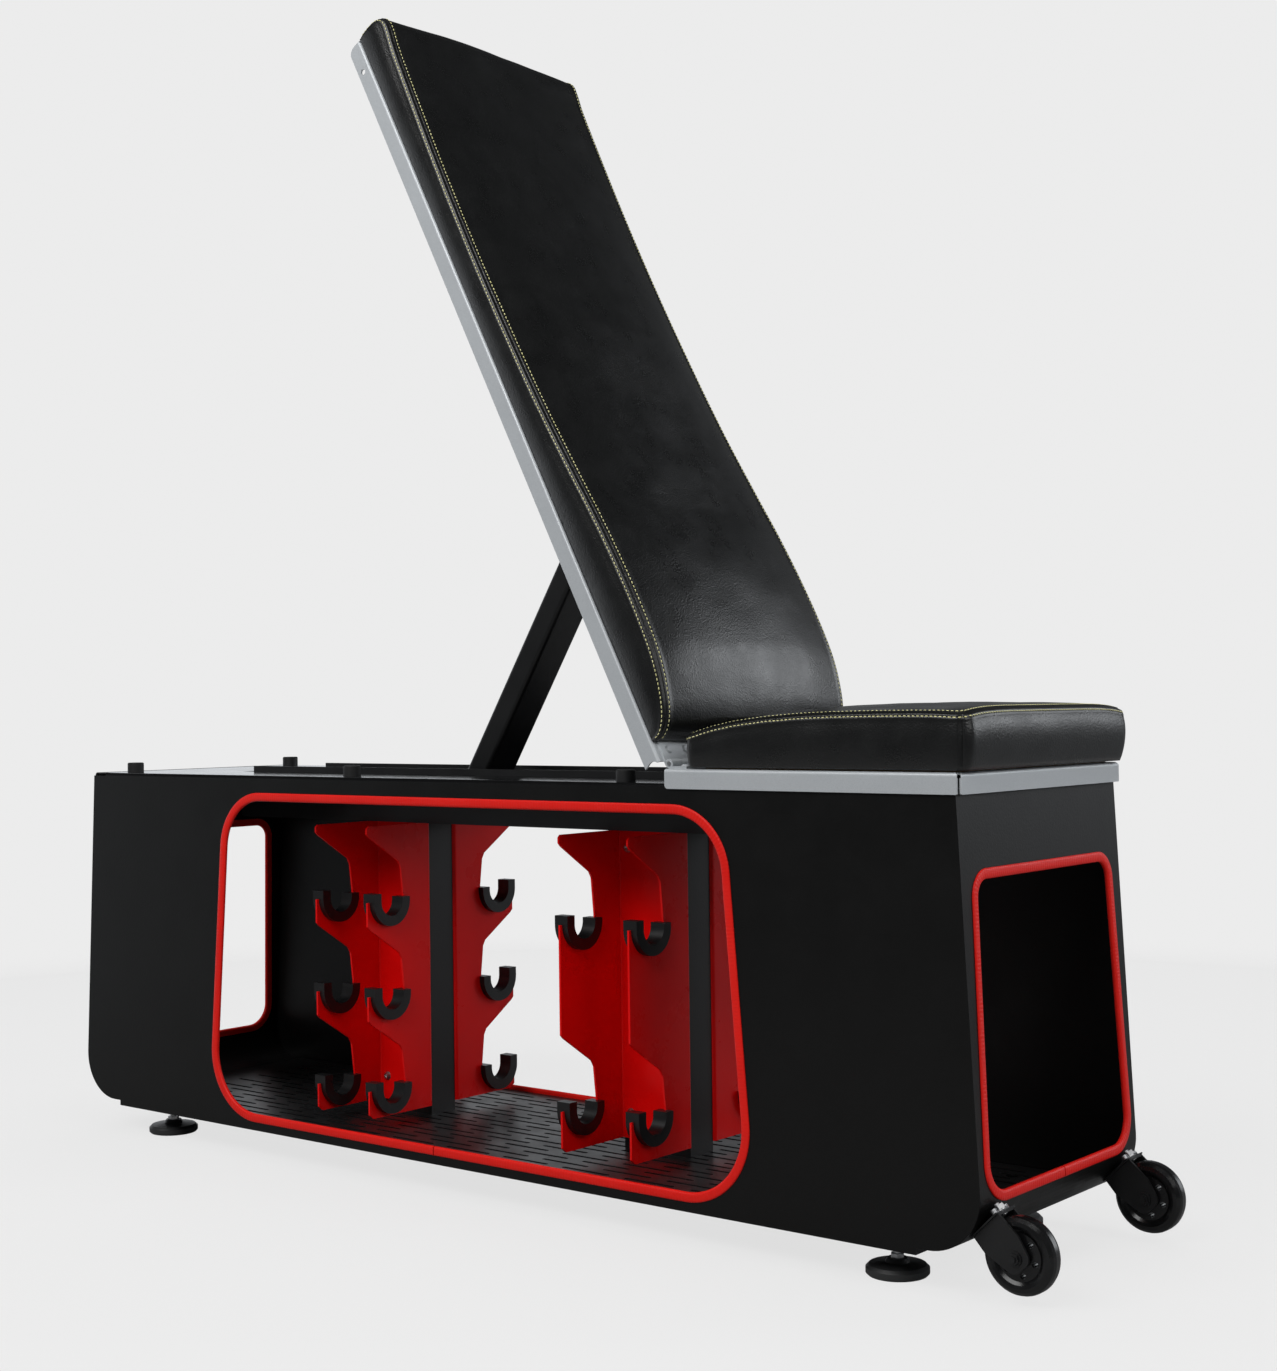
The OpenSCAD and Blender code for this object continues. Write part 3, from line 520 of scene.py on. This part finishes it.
def row_line(sgn, d, i0=1, i1=None):
    """Line on the pad at d mm from the seam: d > 0 on the front, d < 0 on the side panel."""
    pts = []
    i1 = nu - 1 if i1 is None else i1
    for i in range(i0, i1):
        s, n_ = outline[i]
        if d > 0:
            m2 = norm2[i]
            h = seam_relief(d) + 0.4
            pts.append(bp(s + m2[0] * h, sgn * (HW - d), n_ + m2[1] * h))
        else:
            pts.append(side_point(i, sgn, -d)[0])
    return pts


stitches("back_stitching", [row_line(g, d, 2, nu - 2) for g in (-1, 1) for d in (4.0, -4.0)], pad, "backrest")

# ---------------------------------------------------------------- seat pad
X0, X1, ZB = 334.0, 651.0, 478.6
SIDEZ = [(333, 509), (345, 512.5), (365, 518), (395, 523.5), (432, 527.6), (470, 530.2), (509, 531.6), (560, 532.2), (600, 532.2), (620, 531.9), (635, 531.2), (651, 530)]
CENZ = [(333, 520), (350, 524.5), (380, 531), (420, 536), (470, 539.5), (560, 540.6), (620, 539.5), (640, 537.5), (651, 535.5)]
RC = 11.0


def seat_xy(x, y):
    """Rounds the corners of the plan."""
    cx, cy = max(X0 + RC, min(X1 - RC, x)), max(-HW + RC, min(HW - RC, y))
    dx, dy = x - cx, y - cy
    if dx and dy:
        k = max(abs(dx), abs(dy)) / math.hypot(dx, dy)
        dx, dy = dx * k, dy * k
    return cx + dx, cy + dy


def seat_z(x, y):
    q = abs(y) / HW
    zs, zc = lerp_table(SIDEZ, x), lerp_table(CENZ, x)
    # at the foot end the seam climbs quickly from its corner
    e = smooth01((x - 600) / 51)
    p = 2.3 + 3.6 * e
    z = zc - (zc - zs) * q ** p
    return z


def edges_for(lo, hi):
    mid = []
    n_ = int((hi - lo - 24) / 7.5)
    for k in range(1, n_):
        mid.append(lo + 12 + (hi - lo - 24) * k / n_)
    return [lo + d for d in NEAR] + mid + [hi - d for d in reversed(NEAR)]


gx, gy = edges_for(X0, X1), edges_for(-HW, HW)
verts, faces = [], []
idx = {}
for i, x in enumerate(gx):
    for j, y in enumerate(gy):
        px, py = seat_xy(x, y)
        dedge = min(x - X0, X1 - x, HW - abs(y))
        z = seat_z(px, py) + seam_relief(dedge) + 0.9 * nz(px, py, 31, 80) * smooth01(dedge / 60) + 0.45 * nz(px, py, 3, 34) * smooth01(dedge / 30)
        idx[i, j] = len(verts)
        verts.append(Vector(((px / 1000) + SX, py / 1000, z / 1000)))
for i in range(len(gx) - 1):
    for j in range(len(gy) - 1):
        faces.append((idx[i, j], idx[i + 1, j], idx[i + 1, j + 1], idx[i, j + 1]))
# perimeter, counter-clockwise from the near rear corner
per = [(i, 0) for i in range(len(gx))] + [(len(gx) - 1, j) for j in range(1, len(gy))] + \
      [(i, len(gy) - 1) for i in range(len(gx) - 2, -1, -1)] + [(0, j) for j in range(len(gy) - 2, 0, -1)]
npx = len(per)


def out_normal(x, y):
    cx, cy = max(X0 + RC, min(X1 - RC, x)), max(-HW + RC, min(HW - RC, y))
    d = Vector((x - cx, y - cy, 0))
    if d.length < 1e-6:
        return Vector((0, 0, 0))
    return d.normalized()


prev = [idx[p] for p in per]
steps = NEAR[1:] + [None] * 9


def box_point(k, row):
    i, j = per[k]
    x, y = gx[i], gy[j]
    px, py = seat_xy(x, y)
    zt = seat_z(px, py)
    L = zt - ZB
    w_mm = NEAR[row + 1] if row < len(NEAR) - 1 else NEAR[-1] + (L - NEAR[-1]) * (row - len(NEAR) + 2) / 9
    w = min(1.0, w_mm / L)
    nr = out_normal(px, py)
    amp = 3.6
    if nr.x > 0.7:
        amp = 6.4
    if nr.x < -0.7:
        amp = 1.5
    b = amp * math.sin(math.pi * min(1.0, w ** 0.8)) ** 0.8 if w < 1 else 0
    b += seam_relief(w_mm) * (0 if w >= 1 else 1)
    b += 0.8 * nz(px, py, w * 60, 55) * math.sin(math.pi * w)
    near_base = math.exp(-((1 - w) * L / 6.0) ** 2)
    b += 0.45 * near_base * max(0.0, nz(px, py, 5, 30) + 0.2) * math.sin((px + py) * 0.5)
    # vertical seams at the four corners of the boxing
    cxn = min(abs(px - X0), abs(px - X1))
    if abs(abs(nr.x) - 0.7071) < 0.35 and abs(abs(nr.y) - 0.7071) < 0.35:
        b -= 1.5 * (1 - abs(abs(nr.x) - 0.7071) / 0.35) * math.sin(math.pi * min(1, w * 1.02)) ** 0.5
    return Vector((px + nr.x * b, py + nr.y * b, zt - w_mm if w < 1 else ZB)) / 1000 + Vector((SX, 0, 0))


nrow = len(NEAR) - 1 + 9
for row in range(nrow):
    cur = []
    for k in range(npx):
        cur.append(len(verts))
        verts.append(box_point(k, row))
    for k in range(npx):
        k2 = (k + 1) % npx
        faces.append((prev[k], cur[k], cur[k2], prev[k2]))
    prev = cur
# underside, drawn in to the board
cen = Vector(((X0 + X1) / 2000 + SX, 0, ZB / 1000))
for f in (0.9, 0.6, 0.3):
    cur = []
    for k in range(npx):
        cur.append(len(verts))
        p = verts[prev[k]] if f == 0.9 else verts[prev[k]]
        verts.append(cen + (verts[prev[k]] - cen) * (f if f == 0.9 else (0.6 / 0.9 if f == 0.6 else 0.5)))
    for k in range(npx):
        k2 = (k + 1) % npx
        faces.append((prev[k], cur[k], cur[k2], prev[k2]))
    prev = cur
ci = len(verts)
verts.append(cen)
for k in range(npx):
    faces.append((prev[k], ci, prev[(k + 1) % npx]))
seat = make("seat_cushion", verts, faces, M["pad_leather"], "cabinet")
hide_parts("seat_pad")


def seat_row(d):
    pts = []
    if d > 0:
        lo_x, hi_x, w_ = X0 + d, X1 - d, HW - d
        ring = []
        n1, n2 = 90, 90
        for k in range(n1 + 1):
            ring.append((lo_x + (hi_x - lo_x) * k / n1, -w_))
        for k in range(1, n2 + 1):
            ring.append((hi_x, -w_ + 2 * w_ * k / n2))
        for k in range(1, n1 + 1):
            ring.append((hi_x - (hi_x - lo_x) * k / n1, w_))
        for k in range(1, n2 + 1):
            ring.append((lo_x, w_ - 2 * w_ * k / n2))
        for x, y in ring:
            px, py = seat_xy(x, y)
            pts.append(Vector((px / 1000 + SX, py / 1000, (seat_z(px, py) + 0.5) / 1000)))
    else:
        for k in range(npx + 1):
            i, j = per[k % npx]
            px, py = seat_xy(gx[i], gy[j])
            nr = out_normal(px, py)
            pts.append(Vector(((px + nr.x) / 1000 + SX, (py + nr.y) / 1000, (seat_z(px, py) + d) / 1000)))
    return pts


stitches("seat_stitching", [seat_row(4.0), seat_row(-4.0)], seat, "cabinet")


# ---------------------------------------------------------------- red edging
def corner(a, b, c, r, n_):
    u = (Vector(a) - Vector(b)).normalized()
    v = (Vector(c) - Vector(b)).normalized()
    A = math.acos(max(-1, min(1, u.dot(v))))
    d = r / math.tan(A / 2)
    o = Vector(b) + (u + v).normalized() * (r / math.sin(A / 2))
    p, q = Vector(b) + u * d - o, Vector(b) + v * d - o
    a0 = math.atan2(p.y, p.x)
    t = math.atan2(q.y, q.x) - a0
    while t > math.pi:
        t -= 2 * math.pi
    while t < -math.pi:
        t += 2 * math.pi
    return [(o.x + r * math.cos(a0 + t * i / n_), o.y + r * math.sin(a0 + t * i / n_)) for i in range(n_ + 1)]


def hole(ht, hb, z0, z1, rb, rt, g, n_, straight):
    mm = (hb - ht) / (z1 - z0)
    P = [(-(hb + g + mm * g), z0 - g), (hb + g + mm * g, z0 - g), (ht + g - mm * g, z1 + g), (-(ht + g - mm * g), z1 + g)]
    Rr = [rb + g, rb + g, rt + g, rt + g]
    out = []
    arcs = [corner(P[(i + 3) % 4], P[i], P[(i + 1) % 4], Rr[i], n_) for i in range(4)]
    for i in range(4):
        a = arcs[i]
        out += a
        e, f = a[-1], arcs[(i + 1) % 4][0]
        for k in range(1, straight):
            t = k / straight
            out.append((e[0] + (f[0] - e[0]) * t, e[1] + (f[1] - e[1]) * t))
    return out


PROFILE = [(8.5, -0.05), (8.5, -0.7), (8.1, -1.25), (7.3, -1.6), (5.8, -1.8), (3.6, -1.85), (1.6, -1.8), (0.2, -1.55), (-0.8, -1.0), (-1.4, -0.2),
           (-1.62, 1.0), (-1.4, 2.2), (-0.8, 3.0), (0.2, 3.55), (1.6, 3.8), (3.6, 3.85), (5.8, 3.8), (7.3, 3.6), (8.1, 3.25), (8.5, 2.7), (8.5, 2.05),
           (0.02, 2.05), (0.02, -0.05)]


def edging(name, node, place, dims, start):
    loops = [hole(*dims[:6], g, 20, 26) for g, t in PROFILE]
    n_ = len(loops[0])
    # opened at the butt joint
    order = [(start + k) % n_ for k in range(n_)] + [start % n_]
    verts, faces, uv = [], [], []
    lens = [0.0]
    mid = loops[5]
    for a, b in zip(order, order[1:]):
        lens.append(lens[-1] + math.dist(mid[a], mid[b]))
    m_ = len(PROFILE)
    for q, k in enumerate(order):
        for c, (g, t) in enumerate(PROFILE):
            x, z = loops[c][k]
            if q == 0 or q == n_:
                k2 = order[1] if q == 0 else order[n_ - 1]
                x2, z2 = loops[c][k2]
                L = math.dist((x, z), (x2, z2))
                x, z = x + (x2 - x) * 0.7 / L, z + (z2 - z) * 0.7 / L
            verts.append(place(x, z, t))
    for q in range(n_):
        for c in range(m_):
            c2 = (c + 1) % m_
            faces.append((q * m_ + c, q * m_ + c2, (q + 1) * m_ + c2, (q + 1) * m_ + c))
    faces.append(tuple(range(m_ - 1, -1, -1)))
    faces.append(tuple(n_ * m_ + c for c in range(m_)))
    me = bpy.data.meshes.new(name)
    me.from_pydata([tuple(v) for v in verts], [], faces)
    lay = me.uv_layers.new(name="path")
    for poly in me.polygons:
        for li in poly.loop_indices:
            vi = me.loops[li].vertex_index
            q, c = divmod(vi, m_)
            lay.data[li].uv = (lens[q] / 12.0, c / m_)
    bm = bmesh.new()
    bm.from_mesh(me)
    bmesh.ops.recalc_face_normals(bm, faces=bm.faces)
    bm.to_mesh(me)
    bm.free()
    for p in me.polygons:
        p.use_smooth = True
    o = bpy.data.objects.new(name, me)
    sc.collection.objects.link(o)
    me.materials.append(M["trim_red"])
    es = o.modifiers.new("split", "EDGE_SPLIT")
    es.split_angle = math.radians(50)
    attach(o, "cabinet")
    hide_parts(node)
    return o


def place_side(s):
    return lambda x, z, t: Vector((x / 1000 + SX, s * (159 - t) / 1000, z / 1000))


SL = math.radians(3.07)
EX0 = 640 + math.tan(SL) * 462.3 - 2 / math.cos(SL)


def place_end(s):
    def f(y, b, t):
        c = 2 - t
        return Vector((s * (EX0 + c * math.cos(SL) - b * math.sin(SL)) / 1000 + SX, y / 1000, (c * math.sin(SL) + b * math.cos(SL)) / 1000))
    return f


SIDE = (373, 404, 54, 433, 71, 63)
ENDD = (132, 141, 95, 380, 29, 19)
edging("edging_near", "opening_trim_near", place_side(-1), SIDE, 32)
edging("edging_far", "opening_trim_far", place_side(1), SIDE, 32)
edging("edging_foot", "opening_trim_foot", place_end(1), ENDD, 33)
edging("edging_head", "opening_trim_head", place_end(-1), ENDD, 33)

# ---------------------------------------------------------------- floor, world, lights
me = bpy.data.meshes.new("floor")
bm = bmesh.new()
bmesh.ops.create_circle(bm, cap_ends=True, cap_tris=False, segments=96, radius=9.0)
bm.to_mesh(me)
bm.free()
floor = bpy.data.objects.new("floor", me)
sc.collection.objects.link(floor)
fm = bpy.data.materials.new("mat_floor")
fm.use_nodes = True
t = fm.node_tree
bs = t.nodes["Principled BSDF"]
bs.inputs["Roughness"].default_value = 0.75
bs.inputs["Specular IOR Level"].default_value = 0.2
lpf = t.nodes.new("ShaderNodeLightPath")
al = t.nodes.new("ShaderNodeMapRange")
al.inputs["To Min"].default_value = 0.34
al.inputs["To Max"].default_value = 0.86
t.links.new(lpf.outputs["Is Camera Ray"], al.inputs["Value"])
t.links.new(al.outputs["Result"], bs.inputs["Base Color"])
co = t.nodes.new("ShaderNodeTexCoord")
ln = t.nodes.new("ShaderNodeVectorMath")
ln.operation = "LENGTH"
t.links.new(co.outputs["Object"], ln.inputs[0])
mr = t.nodes.new("ShaderNodeMapRange")
mr.interpolation_type = "SMOOTHERSTEP"
mr.inputs["From Min"].default_value = 0.9
mr.inputs["From Max"].default_value = 2.6
t.links.new(ln.outputs["Value"], mr.inputs["Value"])
cf = t.nodes.new("ShaderNodeMath")
cf.operation = "MULTIPLY_ADD"
cf.inputs[1].default_value = 0.87
cf.inputs[2].default_value = 0.0
t.links.new(lpf.outputs["Is Camera Ray"], cf.inputs[0])
fx = t.nodes.new("ShaderNodeMath")
fx.operation = "MAXIMUM"
t.links.new(cf.outputs[0], fx.inputs[0])
t.links.new(mr.outputs["Result"], fx.inputs[1])
tr = t.nodes.new("ShaderNodeBsdfTransparent")
mx = t.nodes.new("ShaderNodeMixShader")
out = t.nodes["Material Output"]
t.links.new(fx.outputs[0], mx.inputs["Fac"])
t.links.new(bs.outputs["BSDF"], mx.inputs[1])
t.links.new(tr.outputs["BSDF"], mx.inputs[2])
t.links.new(mx.outputs["Shader"], out.inputs["Surface"])
me.materials.append(fm)

wd = bpy.data.worlds.new("studio")
sc.world = wd
wd.use_nodes = True
t = wd.node_tree
bg = t.nodes["Background"]
co = t.nodes.new("ShaderNodeTexCoord")
sx = t.nodes.new("ShaderNodeSeparateXYZ")
t.links.new(co.outputs["Generated"], sx.inputs[0])


def maprange(src, a, b, c, d):
    n_ = t.nodes.new("ShaderNodeMapRange")
    n_.interpolation_type = "SMOOTHSTEP"
    for k, v in (("From Min", a), ("From Max", b), ("To Min", c), ("To Max", d)):
        n_.inputs[k].default_value = v
    t.links.new(src, n_.inputs["Value"])
    return n_.outputs["Result"]


def math_node(op, a, b):
    n_ = t.nodes.new("ShaderNodeMath")
    n_.operation = op
    for k, v in enumerate((a, b)):
        if isinstance(v, (int, float)):
            n_.inputs[k].default_value = v
        else:
            t.links.new(v, n_.inputs[k])
    return n_.outputs[0]


def lobe(d, inner, outer, peak):
    """Soft round source seen in direction d, degrees from its middle."""
    dt = t.nodes.new("ShaderNodeVectorMath")
    dt.operation = "DOT_PRODUCT"
    nv = t.nodes.new("ShaderNodeVectorMath")
    nv.operation = "NORMALIZE"
    t.links.new(co.outputs["Generated"], nv.inputs[0])
    t.links.new(nv.outputs["Vector"], dt.inputs[0])
    dt.inputs[1].default_value = Vector(d).normalized()
    return maprange(dt.outputs["Value"], math.cos(math.radians(outer)), math.cos(math.radians(inner)), 0.0, peak)


around = maprange(sx.outputs["Y"], -0.5, 0.3, 0.12, 0.22)
band = maprange(sx.outputs["Z"], 0.22, 0.5, 1.0, 0.22)
top = maprange(sx.outputs["Z"], 0.84, 0.97, 0.0, 0.2)
lum = math_node("ADD", math_node("MULTIPLY", around, band), top)
lum = math_node("ADD", lum, lobe((0.53, 0.777, 0.28), 8, 17, 3.6))
lum = math_node("ADD", lum, lobe((-0.98, -0.18, 0.0), 8, 26, 0.9))
lum = math_node("ADD", lum, lobe((-0.87, 0.50, 0.03), 10, 30, 0.70))
comb = t.nodes.new("ShaderNodeCombineColor")
for k, f in (("Red", 0.965), ("Green", 1.0), ("Blue", 1.04)):
    t.links.new(math_node("MULTIPLY", lum, f), comb.inputs[k])
bg.inputs["Strength"].default_value = 1.0
t.links.new(comb.outputs["Color"], bg.inputs["Color"])
bg2 = t.nodes.new("ShaderNodeBackground")
bg2.inputs["Color"].default_value = (0.838, 0.838, 0.838, 1)
lp = t.nodes.new("ShaderNodeLightPath")
mxw = t.nodes.new("ShaderNodeMixShader")
t.links.new(lp.outputs["Is Camera Ray"], mxw.inputs["Fac"])
t.links.new(bg.outputs["Background"], mxw.inputs[1])
t.links.new(bg2.outputs["Background"], mxw.inputs[2])
t.links.new(mxw.outputs["Shader"], t.nodes["World Output"].inputs["Surface"])


def area(name, loc, target, size, size_y, power, spec=True):
    l = bpy.data.lights.new(name, "AREA")
    l.shape = "RECTANGLE"
    l.size, l.size_y = size, size_y
    l.energy = power
    o = bpy.data.objects.new(name, l)
    o.location = loc
    d = Vector(target) - Vector(loc)
    o.rotation_euler = d.to_track_quat("-Z", "Y").to_euler()
    o.visible_glossy = spec
    sc.collection.objects.link(o)
    return o


area("key_front", (-0.2, -3.0, 3.0), (0.0, 0, 0.5), 3.6, 1.6, 112)
area("fill_right", (3.2, -0.6, 2.2), (0.3, 0, 0.5), 2.0, 1.6, 32)
area("top", (0.0, 0.4, 3.4), (0, 0, 0.4), 3.4, 2.2, 44, False)
area("back", (-0.6, 3.2, 2.2), (0, 0, 0.5), 3.0, 1.4, 14, False)
